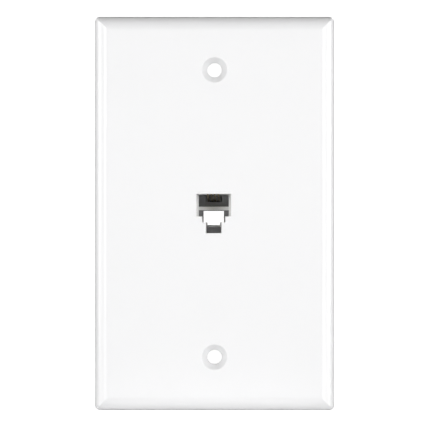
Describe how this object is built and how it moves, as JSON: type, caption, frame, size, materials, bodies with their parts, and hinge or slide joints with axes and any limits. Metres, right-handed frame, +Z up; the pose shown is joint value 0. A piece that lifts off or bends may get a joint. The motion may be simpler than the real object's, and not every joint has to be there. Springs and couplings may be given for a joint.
{
  "type": "telephone wall socket",
  "caption": "Flush telephone wall socket: a white wall plate with a modular jack, spring contacts and screw terminals behind it.",
  "frame": {"origin": "centre of the plate's back rim, on the wall plane", "axes": "+Y into the wall, +Z up, +X to the right as seen from the room; the front faces -Y"},
  "size_m": [0.0694, 0.0203, 0.1142],
  "materials": {
    "plate_plastic": "gloss white moulded plastic",
    "housing_plastic": "satin white moulded plastic",
    "carrier_plastic": "satin dark grey moulded plastic",
    "contact_gold": "gold-plated spring wire",
    "terminal_brass": "bare stamped brass",
    "lug_tin": "tin-plated copper",
    "screw_zinc": "zinc-plated steel",
    "lead_black": "insulated wire",
    "lead_red": "insulated wire",
    "lead_green": "insulated wire",
    "lead_yellow": "insulated wire"
  },
  "bodies": {
    "root": {"wall_plate": "plate_plastic", "jack_housing": "housing_plastic", "contact_carrier": "carrier_plastic", "contact_wire_1": "contact_gold", "contact_wire_2": "contact_gold", "contact_wire_3": "contact_gold", "contact_wire_4": "contact_gold", "lead_black": "lead_black", "terminal_plate_black": "terminal_brass", "spade_lug_black": "lug_tin", "washer_black": "screw_zinc", "terminal_screw_black": "screw_zinc", "lead_red": "lead_red", "terminal_plate_red": "terminal_brass", "spade_lug_red": "lug_tin", "washer_red": "screw_zinc", "terminal_screw_red": "screw_zinc", "lead_green": "lead_green", "terminal_plate_green": "terminal_brass", "spade_lug_green": "lug_tin", "washer_green": "screw_zinc", "terminal_screw_green": "screw_zinc", "lead_yellow": "lead_yellow", "terminal_plate_yellow": "terminal_brass", "spade_lug_yellow": "lug_tin", "washer_yellow": "screw_zinc", "terminal_screw_yellow": "screw_zinc"}
  },
  "joints": []
}
